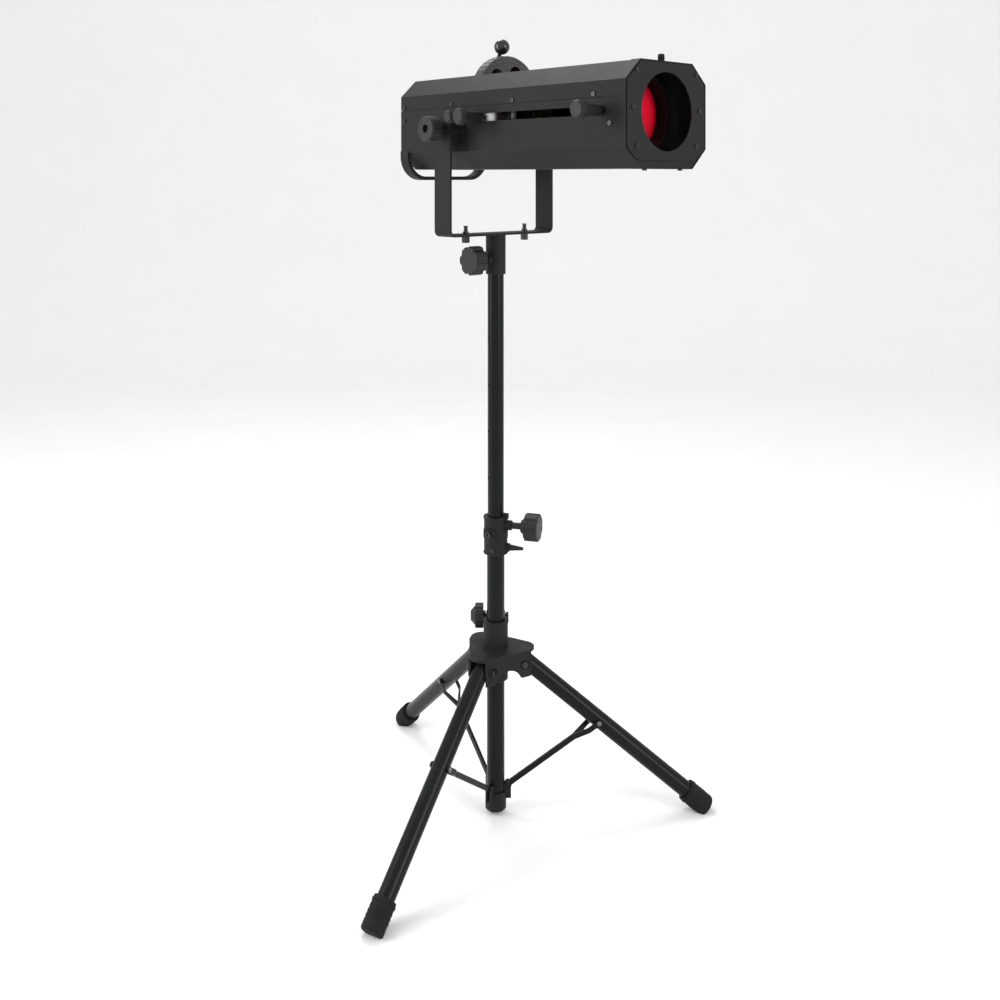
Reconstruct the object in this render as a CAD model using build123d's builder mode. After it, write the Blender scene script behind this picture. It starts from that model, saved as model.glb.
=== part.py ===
from build123d import *

import math
import os

os.makedirs("parts", exist_ok=True)

# The floor is z = 0 and the column axis is x = y = 0. The lamp points along +X.
# Its right-hand side, with the sliders, faces -Y. All sizes are in millimetres.

# ---- stand sizes
lower_r = 19.05
lower_wall = 1.2
lower_bottom = 28.0
lower_top = 600.0
upper_r = 17.5
upper_wall = 1.8
upper_bottom = 470.0
upper_top = 1243.0
gap = 0.3
leg_azimuths = (48.0, 168.0, 288.0)
leg_pivot_r = 62.0
leg_pivot_z = 330.0
leg_lean = 50.8
leg_r = 17.5
leg_wall = 1.5
leg_length = 484.0
leg_head = 10.0
foot_r = 22.5
foot_length = 58.0
foot_end = 26.0
brace_on_leg = 207.0
brace_pivot_r = 26.5
brace_pivot_z = 60.0
brace_w = 11.0
brace_t = 6.0
fork_length = 66.0
fork_straight = 28.0
fork_t = 2.5
collar_r = 26.5
hub_top = 416.0
hub_plate_top = 358.0
hub_bottom = 302.0
channel_half = 18.1
cheek_t = 5.0
clamp_bottom = 561.0
clamp_top = 640.0
clamp_r = 25.5
sleeve_bottom = 1163.0
sleeve_r = 21.5

# ---- fixture sizes
lamp_z = 1488.0
optic_z = 1494.0
pivot_z = 1472.0
front_x = 470.0
rear_x = -184.0
half_w = 117.0
half_h = 100.0
corner_w = 41.0
corner_h = 38.0
cap_wall = 1.2
sheet = 1.5
cap_depth = 21.5
seam_z = 31.5
aperture_r = 73.5
slot_z = 6.8
slot_h = 16.3
slot_rear = 70.0
slot_front = 420.0
arm_mid = 148.0
arm_w = 50.0
arm_t = 5.0
bar_bottom = 1248.0
stud_r = 5.0
wheel_y = 20.0
wheel_z = lamp_z + 57.0
wheel_r = 89.0
wheel_front = 20.0
wheel_rear = -4.0
filter_pitch = math.hypot(wheel_y, wheel_z - optic_z)
filter_r = 17.0
lever_x = -14.0
ball_r = 17.0
ball_reach = 111.0
rod_y = 45.0
rod_z = lamp_z - 84.0
rod_r = 4.0
front_knob_x = 408.0
rear_knob_x = 83.0
lock_knob_x = 50.0
knob_face = 181.0
rear_panel_x = rear_x + 2.0


def save(part, name):
    part.label = name
    export_step(part, f"parts/{name}.step")


def polar(azimuth, radius):
    angle = math.radians(azimuth)
    return radius * math.cos(angle), radius * math.sin(angle)


def radial_plane(azimuth, radius=0.0, z=0.0):
    # Local x runs outward, local y runs up and the normal is tangential.
    out_x, out_y = polar(azimuth, 1.0)
    return Plane(
        origin=(radius * out_x, radius * out_y, z),
        x_dir=(out_x, out_y, 0),
        z_dir=(out_y, -out_x, 0),
    )


def outward_plane(azimuth, radius, z):
    # The normal runs outward, local y runs up.
    out_x, out_y = polar(azimuth, 1.0)
    return Plane(
        origin=(radius * out_x, radius * out_y, z),
        x_dir=(-out_y, out_x, 0),
        z_dir=(out_x, out_y, 0),
    )


def cross_plane(x, z=lamp_z):
    # Across the lamp, local x is +Y and local y is up.
    return Plane(origin=(x, 0, z), x_dir=(0, 1, 0), z_dir=(1, 0, 0))


def side_plane(y, z=lamp_z):
    # Along the lamp, local x is +X, local y is up and the normal is -Y.
    return Plane(origin=(0, y, z), x_dir=(1, 0, 0), z_dir=(0, -1, 0))


def octagon(inset):
    # Corner points of the housing section, moved inward by inset.
    length = math.hypot(corner_w, corner_h)
    normal_y = corner_h / length
    normal_z = corner_w / length
    reach = normal_y * half_w + normal_z * (half_h - corner_h) - inset
    side = half_w - inset
    top = half_h - inset
    side_z = (reach - normal_y * side) / normal_z
    top_y = (reach - normal_z * top) / normal_y
    quarter = [(side, side_z), (top_y, top)]
    left = [(-y, z) for y, z in reversed(quarter)]
    low = [(-side, -side_z), (-top_y, -top), (top_y, -top), (side, -side_z)]
    return quarter + left + low


# ================= stand: column =================
with BuildPart() as lower_tube:
    with BuildSketch(Plane.XY.offset(lower_bottom)):
        Circle(lower_r)
        Circle(lower_r - lower_wall, mode=Mode.SUBTRACT)
    extrude(amount=lower_top - lower_bottom)
save(lower_tube.part, "lower_tube")

fitting_r = 22.5
fitting_top = 48.0
fitting_bottom = 8.0
thread_r = 4.25
ear_t = 3.0
ear_gap = brace_t / 2 + gap
with BuildPart() as base_fitting:
    with BuildSketch(Plane.XY.offset(fitting_bottom)):
        Circle(fitting_r)
    extrude(amount=fitting_top - fitting_bottom)
    chamfer(base_fitting.edges().group_by(Axis.Z)[0], length=3.0)
    with BuildSketch(Plane.XY.offset(lower_bottom)):
        Circle(lower_r)
    extrude(amount=fitting_top - lower_bottom, mode=Mode.SUBTRACT)
    for azimuth in leg_azimuths:
        for side in (-1, 1):
            middle = side * (ear_gap + ear_t / 2)
            with BuildSketch(radial_plane(azimuth).offset(middle)):
                with Locations((brace_pivot_r - 1, brace_pivot_z - 14)):
                    Rectangle(15, 28)
                with Locations((brace_pivot_r, brace_pivot_z)):
                    Circle(7.5)
            extrude(amount=ear_t / 2, both=True)
        with BuildSketch(radial_plane(azimuth)):
            with Locations((brace_pivot_r, brace_pivot_z)):
                Circle(2.8)
        extrude(amount=ear_gap + ear_t + 1.8, both=True)
    with BuildSketch(Plane.XY.offset(lower_bottom)):
        Circle(lower_r)
    extrude(amount=60, mode=Mode.SUBTRACT)
    with BuildSketch(Plane.XY.offset(fitting_bottom)):
        Circle(thread_r)
    extrude(amount=lower_bottom - fitting_bottom, mode=Mode.SUBTRACT)
save(base_fitting.part, "base_fitting")

clamp_knob_az = 30.5
clamp_knob_z = 622.0
clamp_pin_z = 574.0
clamp_lug_az = -72.0
with BuildPart() as clamp_collar:
    with BuildSketch(Plane.XY.offset(clamp_bottom)):
        Circle(clamp_r)
    extrude(amount=clamp_top - clamp_bottom)
    # Three raised bands run round the casting.
    for low, high in ((561, 564), (595, 612), (635, 640)):
        with BuildSketch(Plane.XY.offset(low)):
            Circle(clamp_r + 1.2)
        extrude(amount=high - low)
    with BuildSketch(outward_plane(clamp_knob_az, 0, clamp_knob_z)):
        Circle(10.5)
    extrude(amount=36)
    with BuildSketch(outward_plane(clamp_knob_az, 0, clamp_pin_z)):
        Circle(9.0)
    extrude(amount=31)
    with BuildSketch(outward_plane(clamp_lug_az, 0, 607)):
        RectangleRounded(26, 20, 5)
    extrude(amount=31)
    with BuildSketch(outward_plane(clamp_knob_az, 0, 641)):
        RectangleRounded(12, 12, 3)
    extrude(amount=28)
    with BuildSketch(Plane.XY.offset(lower_top)):
        Circle(upper_r + gap)
    extrude(amount=60, mode=Mode.SUBTRACT)
    with BuildSketch(Plane.XY.offset(clamp_bottom - 5)):
        Circle(lower_r)
    extrude(amount=lower_top - clamp_bottom + 5, mode=Mode.SUBTRACT)
    # The screw of the knob and the pin pass through these holes.
    with BuildSketch(outward_plane(clamp_knob_az, 0, clamp_knob_z)):
        Circle(5.3)
    extrude(amount=40, mode=Mode.SUBTRACT)
    with BuildSketch(outward_plane(clamp_knob_az, lower_r + 0.5, clamp_pin_z)):
        Circle(4.3)
    extrude(amount=40, mode=Mode.SUBTRACT)
    # The collar is split so that it can pinch the upper tube.
    with BuildSketch(outward_plane(clamp_lug_az + 180, 0, 621)):
        Rectangle(2.5, 42)
    extrude(amount=40, mode=Mode.SUBTRACT)
save(clamp_collar.part, "clamp_collar")

clamp_head_from = 31.0
clamp_head_z = 607.0
clamp_head_r = 7.0
clamp_head_h = 5.0
clamp_key_r = 3.4
clamp_key_floor = 2.0
with BuildPart() as clamp_bolts:
    head_at = outward_plane(clamp_lug_az, clamp_head_from, clamp_head_z)
    with BuildSketch(head_at):
        Circle(clamp_head_r)
        RegularPolygon(clamp_key_r, 6, mode=Mode.SUBTRACT)
    extrude(amount=clamp_head_h)
    with BuildSketch(head_at):
        Circle(clamp_head_r)
    extrude(amount=clamp_key_floor)
    with BuildSketch(outward_plane(clamp_lug_az + 12, clamp_r, 572)):
        Circle(4.5)
    extrude(amount=3.5)
save(clamp_bolts.part, "clamp_bolts")


def lobed_knob(plane, head_from, head_to, radius, lobes, dip, screw_from, stem_r, stud, neck_r):
    # A star knob on its own axis. The screw ends before it meets the tube.
    with BuildPart() as knob:
        with BuildSketch(plane.offset(head_from)):
            Circle(radius)
            with PolarLocations(radius + dip * 0.9, lobes):
                Circle(dip * 1.9, mode=Mode.SUBTRACT)
        extrude(amount=head_to - head_from)
        face = knob.faces().sort_by(Axis(plane.origin, plane.z_dir))[-1]
        chamfer(face.outer_wire().edges(), length=2.2)
        with BuildSketch(plane.offset(head_from - 10)):
            Circle(neck_r)
        with BuildSketch(plane.offset(head_from)):
            Circle(radius * 0.72)
        loft()
        with BuildSketch(plane.offset(stem_r[1])):
            Circle(stem_r[0])
        extrude(amount=head_from - 9 - stem_r[1])
        with BuildSketch(plane.offset(screw_from)):
            Circle(stud)
        extrude(amount=head_from - screw_from)
    return knob.part


save(
    lobed_knob(
        outward_plane(clamp_knob_az, 0, clamp_knob_z),
        68.0, 98.0, 29.0, 8, 3.0, 18.2, (7.0, 36.6), 5.0, 13.0,
    ),
    "clamp_knob",
)

pin_plane = outward_plane(clamp_knob_az, 0, clamp_pin_z)
with BuildPart() as clamp_pin:
    with BuildSketch(pin_plane.offset(20.2)):
        Circle(4.0)
    extrude(amount=12)
    with BuildSketch(pin_plane.offset(31.8)):
        Circle(6.8)
    with BuildSketch(pin_plane.offset(62)):
        Circle(3.2)
    loft()
    fillet(clamp_pin.faces().sort_by(Axis(pin_plane.origin, pin_plane.z_dir))[-1].edges(), radius=2.0)
save(clamp_pin.part, "clamp_pin")

# ================= stand: hub, legs and braces =================
hub_screw_out = 34.0
hub_screw_z = 411.0
hub_knob_az = 227.5
screw_centre = polar(hub_knob_az - 90.0, hub_screw_out)
screw_dir = polar(hub_knob_az, 1.0)
screw_plane = Plane(
    origin=(screw_centre[0], screw_centre[1], hub_screw_z),
    x_dir=(0, 0, 1),
    z_dir=(screw_dir[0], screw_dir[1], 0),
)
bore_r = lower_r + gap
bolt_seat = 27.5
with BuildPart() as hub_casting:
    with BuildSketch(Plane.XY.offset(hub_bottom)):
        with PolarLocations(56, 3, start_angle=leg_azimuths[0]):
            Circle(27)
        make_hull()
    extrude(amount=hub_plate_top - hub_bottom)
    with BuildSketch(Plane.XY.offset(hub_bottom)):
        with PolarLocations(56, 3, start_angle=leg_azimuths[0]):
            Circle(21.5)
        make_hull()
    extrude(amount=hub_plate_top - hub_bottom - 7, mode=Mode.SUBTRACT)
    with BuildSketch(Plane.XY.offset(hub_bottom - 12)):
        Circle(collar_r)
    extrude(amount=hub_top - hub_bottom + 12)
    for azimuth in leg_azimuths:
        for side in (-1, 1):
            middle = side * (channel_half + cheek_t / 2)
            with BuildSketch(radial_plane(azimuth).offset(middle)):
                with Locations((50, leg_pivot_z + 4)):
                    Rectangle(52, 40)
                with Locations((leg_pivot_r, leg_pivot_z - 6)):
                    Circle(16)
            extrude(amount=cheek_t / 2, both=True)
        with BuildSketch(radial_plane(azimuth)):
            with Locations((leg_pivot_r, leg_pivot_z)):
                Circle(9.5)
        extrude(amount=bolt_seat, both=True)
        # An arch is cut into each skirt between two legs.
        with BuildSketch(outward_plane(azimuth + 60, 0, hub_bottom - 30)):
            Ellipse(40, 52)
        extrude(amount=100, mode=Mode.SUBTRACT)
    with BuildSketch(Plane.XY.offset(hub_bottom - 12)):
        Circle(collar_r)
    extrude(amount=hub_top - hub_bottom + 12)
    with BuildSketch(Plane.XY.offset(hub_top - 5)):
        Circle(collar_r + 1.5)
    extrude(amount=5)
    # The lug behind the collar holds the clamp screw.
    lug_out = polar(hub_knob_az - 90.0, 1.0)
    lug_plane = Plane(origin=(0, 0, hub_top - 24), x_dir=(lug_out[0], lug_out[1], 0), z_dir=(0, 0, 1))
    with BuildSketch(lug_plane):
        with Locations((30, 0)):
            Rectangle(28, 42)
    extrude(amount=26)
    for azimuth in leg_azimuths:
        channel = radial_plane(azimuth)
        with BuildSketch(channel):
            with Locations((80, hub_bottom + 18)):
                Rectangle(100, 66)
        extrude(amount=channel_half, both=True, mode=Mode.SUBTRACT)
        with BuildSketch(channel):
            with Locations((leg_pivot_r, leg_pivot_z)):
                Circle(4.0)
        extrude(amount=channel_half + cheek_t + 10, both=True, mode=Mode.SUBTRACT)
        # Flat seats are cut for the bolt heads.
        for side in (-1, 1):
            with BuildSketch(channel.offset(side * bolt_seat)):
                with Locations((leg_pivot_r, leg_pivot_z)):
                    Circle(9.5)
            extrude(amount=side * 20, mode=Mode.SUBTRACT)
    with BuildSketch(Plane.XY.offset(hub_bottom - 20)):
        Circle(bore_r)
    extrude(amount=hub_top - hub_bottom + 40, mode=Mode.SUBTRACT)
    with BuildSketch(lug_plane):
        with Locations((35, 0)):
            Rectangle(40, 2.5)
    extrude(amount=40, mode=Mode.SUBTRACT)
    with BuildSketch(screw_plane):
        Circle(4.3)
    extrude(amount=60, both=True, mode=Mode.SUBTRACT)
save(hub_casting.part, "hub_casting")

with BuildPart() as hub_bolts:
    for azimuth in leg_azimuths:
        channel = radial_plane(azimuth)
        with BuildSketch(channel):
            with Locations((leg_pivot_r, leg_pivot_z)):
                Circle(4.0)
        extrude(amount=bolt_seat, both=True)
        for side in (-1, 1):
            with BuildSketch(channel.offset(side * (bolt_seat + 2))):
                with Locations((leg_pivot_r, leg_pivot_z)):
                    RegularPolygon(6.5, 6)
            extrude(amount=2, both=True)
save(hub_bolts.part, "hub_bolts")

with BuildPart() as hub_knob:
    with BuildSketch(screw_plane.offset(-24)):
        Circle(3.9)
    extrude(amount=52)
    with BuildSketch(screw_plane.offset(-28.0)):
        RegularPolygon(7.5, 6)
    extrude(amount=6)
    with BuildSketch(screw_plane.offset(22.0)):
        Circle(10)
    extrude(amount=6)
    with BuildSketch(screw_plane.offset(27.0)):
        Circle(26)
        with PolarLocations(29, 10):
            Circle(5, mode=Mode.SUBTRACT)
    extrude(amount=18)
    with BuildSketch(screw_plane.offset(44.0)):
        Circle(22)
    with BuildSketch(screw_plane.offset(55.0)):
        Circle(10)
    loft()
save(hub_knob.part, "hub_knob")

lean = math.radians(leg_lean)


def along_leg(distance):
    # Radius and height of a point on the leg axis, measured from the pivot.
    return leg_pivot_r + distance * math.sin(lean), leg_pivot_z - distance * math.cos(lean)


def leg_plane(azimuth, distance):
    # The normal runs down the leg and local x is tangential.
    radius, z = along_leg(distance)
    out_x, out_y = polar(azimuth, 1.0)
    down = (math.sin(lean) * out_x, math.sin(lean) * out_y, -math.cos(lean))
    return Plane(origin=(radius * out_x, radius * out_y, z), x_dir=(out_y, -out_x, 0), z_dir=down)


for number, azimuth in enumerate(leg_azimuths, 1):
    with BuildPart() as leg:
        with BuildSketch(leg_plane(azimuth, -leg_head)):
            Circle(leg_r)
        extrude(amount=leg_length + leg_head)
        with BuildSketch(leg_plane(azimuth, leg_head + 6)):
            Circle(leg_r - leg_wall)
        extrude(amount=leg_length, mode=Mode.SUBTRACT)
        with BuildSketch(radial_plane(azimuth)):
            with Locations((leg_pivot_r, leg_pivot_z)):
                Circle(4.3)
        extrude(amount=30, both=True, mode=Mode.SUBTRACT)
    save(leg.part, f"leg_{number}")

    with BuildPart() as foot:
        with BuildSketch(leg_plane(azimuth, leg_length + foot_end - foot_length)):
            Circle(foot_r)
        extrude(amount=foot_length)
        fillet(foot.edges().sort_by(Axis((0, 0, 0), leg_plane(azimuth, 0).z_dir))[-1:], radius=5)
        with BuildSketch(leg_plane(azimuth, leg_length - 80)):
            Circle(leg_r)
        extrude(amount=80, mode=Mode.SUBTRACT)
        with BuildSketch(leg_plane(azimuth, leg_length + foot_end - foot_length + 5)):
            Circle(foot_r + 1.2)
            Circle(foot_r - 2, mode=Mode.SUBTRACT)
        extrude(amount=4)
        with BuildSketch(Plane.XY):
            with Locations(polar(azimuth, leg_pivot_r + 400)):
                Circle(150)
        extrude(amount=-60, mode=Mode.SUBTRACT)
    save(foot.part, f"foot_{number}")

pin_r, pin_z = along_leg(brace_on_leg)
brace_rise = math.atan2(pin_z - brace_pivot_z, pin_r - brace_pivot_r)
brace_length = math.hypot(pin_z - brace_pivot_z, pin_r - brace_pivot_r)
fork_gap = leg_r + 1.0
rivet_stub = 0.5
rivet_head = 2.4


def brace_plane(azimuth, distance, tangential=0.0):
    # Local x runs up the brace, the normal is tangential.
    out_x, out_y = polar(azimuth, 1.0)
    radius = brace_pivot_r + distance * math.cos(brace_rise)
    z = brace_pivot_z + distance * math.sin(brace_rise)
    plane = Plane(
        origin=(radius * out_x, radius * out_y, z),
        x_dir=(math.cos(brace_rise) * out_x, math.cos(brace_rise) * out_y, math.sin(brace_rise)),
        z_dir=(out_y, -out_x, 0),
    )
    return plane.offset(tangential)


bar_end = brace_length - fork_length
for number, azimuth in enumerate(leg_azimuths, 1):
    with BuildPart() as brace:
        with BuildSketch(brace_plane(azimuth, 0)):
            with Locations((bar_end / 2, 0)):
                Rectangle(bar_end, brace_w)
            Circle(brace_w / 2 + 0.8)
        extrude(amount=brace_t / 2, both=True)
        # The bar opens into a fork whose two cheeks pass either side of the leg.
        flat = brace_plane(azimuth, bar_end)
        for side in (-1, 1):
            wide = side * (fork_gap + fork_t)
            close = side * fork_gap
            with BuildSketch(Plane(origin=flat.origin, x_dir=flat.x_dir, z_dir=flat.y_dir)):
                with BuildLine():
                    Polyline(
                        (-6, 0), (-6, side * brace_t / 2), (0, side * brace_t / 2),
                        (fork_length - fork_straight, wide), (fork_length + 1, wide),
                        (fork_length + 1, close), (fork_length - fork_straight, close),
                        (5, 0), (-6, 0),
                    )
                make_face()
            extrude(amount=brace_w / 2, both=True)
            middle = side * (fork_gap + fork_t / 2)
            with BuildSketch(brace_plane(azimuth, brace_length, middle)):
                Circle(brace_w / 2 + 1.0)
            extrude(amount=fork_t / 2, both=True)
        with BuildSketch(brace_plane(azimuth, 0)):
            Circle(3.1)
        extrude(amount=20, both=True, mode=Mode.SUBTRACT)
        # The rivets are riveted over in the cheeks and stop short of the leg.
        for side in (-1, 1):
            with BuildSketch(brace_plane(azimuth, brace_length, side * (fork_gap - rivet_stub))):
                Circle(3.0)
            extrude(amount=side * (rivet_stub + fork_t))
            with BuildSketch(brace_plane(azimuth, brace_length, side * (fork_gap + fork_t))):
                Circle(5.0)
            extrude(amount=side * rivet_head)
    save(brace.part, f"brace_{number}")

# ================= stand: upper tube =================
hole_az = 250.0
with BuildPart() as upper_tube:
    with BuildSketch(Plane.XY.offset(upper_bottom)):
        Circle(upper_r)
        Circle(upper_r - upper_wall, mode=Mode.SUBTRACT)
    extrude(amount=upper_top - upper_bottom)
    for z in (1024, 924, 824, 724):
        with BuildSketch(outward_plane(hole_az, 10, z)):
            Circle(3.2)
        extrude(amount=20, mode=Mode.SUBTRACT)
save(upper_tube.part, "upper_tube")

# ================= yoke =================
pan_knob_z = 1195.0
sleeve_in = upper_r + 0.1
with BuildPart() as yoke_sleeve:
    with BuildSketch(Plane.XY.offset(sleeve_bottom)):
        Circle(sleeve_r)
    extrude(amount=bar_bottom - sleeve_bottom)
    fillet(yoke_sleeve.edges().filter_by(GeomType.CIRCLE).group_by(Axis.Z)[0], radius=2.0)
    with BuildSketch(Plane.XY.offset(sleeve_bottom - 5)):
        Circle(sleeve_in)
    extrude(amount=upper_top + gap - sleeve_bottom + 5, mode=Mode.SUBTRACT)
    with BuildSketch(outward_plane(-90, sleeve_in + 1.0, pan_knob_z)):
        Circle(11)
    extrude(amount=10)
    with BuildSketch(outward_plane(-90, 10, pan_knob_z)):
        Circle(5.3)
    extrude(amount=30, mode=Mode.SUBTRACT)
save(yoke_sleeve.part, "yoke_sleeve")

bend_r = 14.0
arm_top_r = arm_w / 2
bolt_y = 86.0
with BuildPart() as yoke_bracket:
    with BuildSketch(cross_plane(0, 0)):
        low = bar_bottom
        high = pivot_z
        outer = arm_mid + arm_t / 2
        inner = arm_mid - arm_t / 2
        with BuildLine():
            Polyline((-outer, high), (-outer, low), (outer, low), (outer, high))
            Polyline((outer, high), (inner, high), (inner, low + arm_t))
            Polyline((inner, low + arm_t), (-inner, low + arm_t), (-inner, high), (-outer, high))
        make_face()
    extrude(amount=arm_w / 2, both=True)
    bends = yoke_bracket.edges().filter_by(Axis.X).group_by(Axis.Z)
    fillet(bends[0], radius=bend_r)
    inner_bends = yoke_bracket.edges().filter_by(Axis.X).filter_by(
        lambda e: abs(e.center().Z - low - arm_t) < 0.1)
    fillet(inner_bends, radius=bend_r - arm_t)
    for side in (-1, 1):
        with BuildSketch(side_plane(side * arm_mid, pivot_z)):
            Circle(arm_top_r)
        extrude(amount=arm_t / 2, both=True)
    with BuildSketch(side_plane(0, pivot_z)):
        Circle(stud_r + gap)
    extrude(amount=arm_mid + 10, both=True, mode=Mode.SUBTRACT)
    with BuildSketch(Plane.XY.offset(bar_bottom - 10)):
        with Locations((0, -bolt_y), (0, bolt_y)):
            Circle(4.0)
    extrude(amount=30, mode=Mode.SUBTRACT)
save(yoke_bracket.part, "yoke_bracket")

with BuildPart() as yoke_bolts:
    for y in (-bolt_y, bolt_y):
        with BuildSketch(Plane.XY.offset(bar_bottom - 14)):
            with Locations((0, y)):
                Circle(4.0)
        extrude(amount=14 + arm_t + 17)
        with BuildSketch(Plane.XY.offset(bar_bottom - 14)):
            with Locations((0, y)):
                RegularPolygon(8.5, 6)
        extrude(amount=14)
        with BuildSketch(Plane.XY.offset(bar_bottom + arm_t)):
            with Locations((0, y)):
                Circle(6.5)
        extrude(amount=5)
        with BuildSketch(Plane.XY.offset(bar_bottom + arm_t + 15)):
            with Locations((0, y)):
                Circle(4.8)
        extrude(amount=2)
save(yoke_bolts.part, "yoke_bolts")

save(
    lobed_knob(
        outward_plane(-90, 0, pan_knob_z),
        50.0, 78.0, 31.0, 7, 3.6, 18.2, (8.5, 29.0), 5.0, 13.0,
    ),
    "pan_knob",
)

spacer_out = arm_mid - arm_t / 2 - gap
shell_w = half_w - cap_wall


def tilt_knob(side, name):
    plane = side_plane(0, pivot_z) if side < 0 else Plane(
        origin=(0, 0, pivot_z), x_dir=(-1, 0, 0), z_dir=(0, 1, 0))
    with BuildPart() as knob:
        with BuildSketch(plane.offset(shell_w - sheet - 3)):
            Circle(stud_r)
        extrude(amount=196 - 8 - shell_w + sheet + 3)
        with BuildSketch(plane.offset(arm_mid + arm_t / 2 + 0.4)):
            Circle(10)
        extrude(amount=24)
        with BuildSketch(plane.offset(172)):
            Circle(26)
        extrude(amount=24)
        face = knob.faces().sort_by(Axis(plane.origin, plane.z_dir))[-1]
        chamfer(face.outer_wire().edges(), length=2.5)
        with BuildSketch(plane.offset(166)):
            Circle(16)
        with BuildSketch(plane.offset(172)):
            Circle(24)
        loft()
        with BuildSketch(plane.offset(196)):
            Circle(8.5)
        extrude(amount=-9, mode=Mode.SUBTRACT)
        with BuildSketch(plane.offset(182)):
            with PolarLocations(28.4, 20):
                Circle(3.2)
        extrude(amount=10, both=True, mode=Mode.SUBTRACT)
    save(knob.part, name)


tilt_knob(-1, "tilt_knob_near")
tilt_knob(1, "tilt_knob_far")

# ================= fixture: housing =================
spacer_flat = 24.0
with BuildPart() as pivot_spacers:
    for side in (-1, 1):
        with BuildSketch(side_plane(side * shell_w, pivot_z)):
            Circle(33)
        extrude(amount=-side * 5)
        with BuildSketch(side_plane(side * shell_w, pivot_z)):
            RegularPolygon(spacer_flat, 6)
        extrude(amount=-side * (spacer_out - shell_w))
    with BuildSketch(side_plane(0, pivot_z)):
        Circle(stud_r + gap)
    extrude(amount=160, both=True, mode=Mode.SUBTRACT)
save(pivot_spacers.part, "pivot_spacers")

shell_end = front_x - 4.0


with BuildPart() as upper_shell:
    with BuildSketch(cross_plane(rear_x)):
        Polygon(*octagon(cap_wall), align=None)
        Polygon(*octagon(cap_wall + sheet), align=None, mode=Mode.SUBTRACT)
    extrude(amount=shell_end - rear_x)
    with BuildSketch(cross_plane(rear_x - 5)):
        with Locations((0, seam_z - 100)):
            Rectangle(260, 200)
    extrude(amount=shell_end - rear_x + 10, mode=Mode.SUBTRACT)
    # The roof is open above the wheel and the lever.
    with BuildSketch(cross_plane(-24)):
        with Locations((32, 105)):
            Rectangle(196, 90)
    extrude(amount=50, mode=Mode.SUBTRACT)
    with BuildSketch(Plane.XY.offset(lamp_z + 90)):
        with Locations((front_x - 14, 0)):
            Circle(2.8)
    extrude(amount=20, mode=Mode.SUBTRACT)
save(upper_shell.part, "upper_shell")

lap_t = 1.5
lap_in = shell_w - sheet
with BuildPart() as lower_shell:
    with BuildSketch(cross_plane(rear_x)):
        Polygon(*octagon(cap_wall), align=None)
        Polygon(*octagon(cap_wall + sheet), align=None, mode=Mode.SUBTRACT)
    extrude(amount=shell_end - rear_x)
    with BuildSketch(cross_plane(rear_x - 5)):
        with Locations((0, seam_z - 0.8 + 100)):
            Rectangle(260, 200)
    extrude(amount=shell_end - rear_x + 10, mode=Mode.SUBTRACT)
    # Inner strips reach up behind the upper shell.
    for side in (-1, 1):
        with BuildSketch(cross_plane(rear_x + 4)):
            with Locations((side * (lap_in - lap_t / 2), seam_z + 2)):
                Rectangle(lap_t, 26)
        extrude(amount=shell_end - rear_x - 8)
    with BuildSketch(side_plane(-half_w - 5)):
        with Locations(((slot_rear + slot_front) / 2, slot_z)):
            SlotOverall(slot_front - slot_rear, slot_h)
    extrude(amount=-12, mode=Mode.SUBTRACT)
    with BuildSketch(side_plane(-half_w - 5)):
        with Locations((lock_knob_x, slot_z)):
            Circle(5.3)
    extrude(amount=-12, mode=Mode.SUBTRACT)
    with BuildSketch(side_plane(0, pivot_z)):
        Circle(stud_r + gap)
    extrude(amount=160, both=True, mode=Mode.SUBTRACT)
    # A small bridge behind the slot carries the stop screw.
    with BuildSketch(side_plane(-lap_in)):
        with Locations((176, slot_z)):
            Rectangle(14, 36)
    extrude(amount=-2)
save(lower_shell.part, "lower_shell")

lip = 1.4
plate_x = front_x - 2.0
with BuildPart() as front_cap:
    with BuildSketch(cross_plane(front_x - cap_depth)):
        Polygon(*octagon(0), align=None)
        Polygon(*octagon(cap_wall), align=None, mode=Mode.SUBTRACT)
    extrude(amount=cap_depth)
    with BuildSketch(cross_plane(shell_end)):
        Polygon(*octagon(cap_wall / 2), align=None)
        with Locations((0, optic_z - lamp_z)):
            Circle(aperture_r + 2.5, mode=Mode.SUBTRACT)
    extrude(amount=plate_x - shell_end)
    with BuildSketch(Plane.XY.offset(lamp_z + 90)):
        with Locations((front_x - 14, 0)):
            Circle(2.8)
    extrude(amount=20, mode=Mode.SUBTRACT)
save(front_cap.part, "front_cap")

with BuildPart() as face_plate:
    with BuildSketch(cross_plane(plate_x)):
        Polygon(*octagon(3.8), align=None)
        with Locations((0, -half_h)):
            Rectangle(240, 32, mode=Mode.SUBTRACT)
        with Locations((0, optic_z - lamp_z)):
            Circle(aperture_r, mode=Mode.SUBTRACT)
    extrude(amount=2.2)
    corners = face_plate.edges().filter_by(Axis.X).group_by(Axis.Z)[0]
    chamfer(corners, length=8)
save(face_plate.part, "face_plate")

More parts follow.
